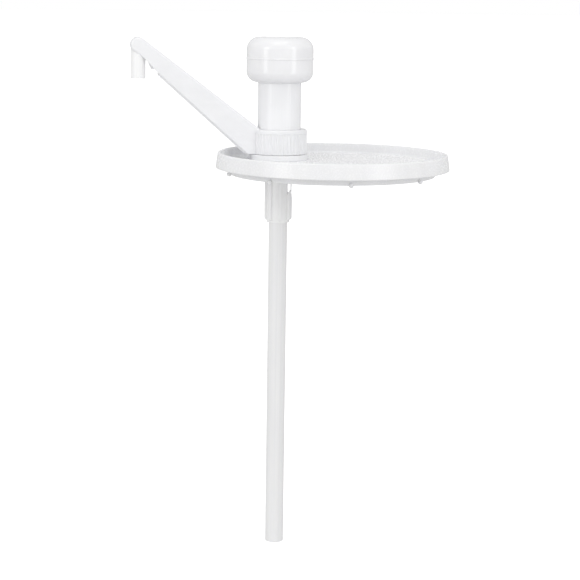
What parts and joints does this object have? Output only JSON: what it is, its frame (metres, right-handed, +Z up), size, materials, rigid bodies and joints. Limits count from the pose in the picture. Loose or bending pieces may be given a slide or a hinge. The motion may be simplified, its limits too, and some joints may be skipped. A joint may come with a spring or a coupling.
{
  "type": "condiment pump dispenser",
  "caption": "Round container lid carrying a palm-knob condiment pump with a raised swivelling spout above and a long dip tube below.",
  "frame": {"origin": "on the lid's axis, level with the bottom edge of its rim wall", "axes": "+Z up along the lid's and the pump's axes; at rest the spout points along -X, and the pump stands off centre towards -X and +Y"},
  "size_m": [0.2362, 0.175, 0.3959],
  "materials": {
    "lid_plastic": "white moulded polypropylene, semi-gloss",
    "body_plastic": "white moulded plastic, glossy",
    "spout_plastic": "white moulded plastic, semi-gloss",
    "nozzle_plastic": "natural white plastic, slightly translucent",
    "knob_plastic": "white moulded plastic, glossy",
    "socket_plastic": "natural white plastic, satin",
    "tube_plastic": "milky translucent polyethylene tube",
    "seal_rubber": "white food-grade silicone",
    "stainless": "stainless steel"
  },
  "bodies": {
    "base": {"lid": "lid_plastic", "base_gasket": "seal_rubber", "lock_ring": "body_plastic", "pump_base": "body_plastic", "coupling_washer": "seal_rubber", "valve_coupling": "socket_plastic", "inlet_cage": "body_plastic", "suction_tube": "tube_plastic", "return_spring": "stainless"},
    "head": {"spout_head": "spout_plastic", "swivel_seal": "seal_rubber", "wiper_seal": "seal_rubber", "outlet_seat": "body_plastic", "spout_cover": "spout_plastic", "nozzle": "nozzle_plastic"},
    "plunger": {"plunger_sleeve": "body_plastic", "plunger_core": "body_plastic", "knob_lower": "knob_plastic", "knob_upper": "knob_plastic", "knob_disc": "knob_plastic"},
    "outlet_ball": {"outlet_ball": "stainless"},
    "inlet_ball": {"inlet_ball": "stainless"}
  },
  "joints": [
    {"name": "spout_swivel", "type": "hinge", "parent": "base", "child": "head", "pos_m": [-0.0355, 0.0355, 0.01], "axis": [0, 0, 1], "continuous": true},
    {"name": "plunger_press", "type": "slide", "parent": "head", "child": "plunger", "axis": [0, 0, -1], "range_m": [0, 0.026], "stiffness_N_per_m": 650, "springref_m": -0.0123, "deforming": ["return_spring"]},
    {"name": "outlet_ball_lift", "type": "slide", "parent": "head", "child": "outlet_ball", "axis": [0, 0, 1], "range_m": [0, 0.003]},
    {"name": "inlet_ball_lift", "type": "slide", "parent": "base", "child": "inlet_ball", "axis": [0, 0, 1], "range_m": [0, 0.003]}
  ]
}
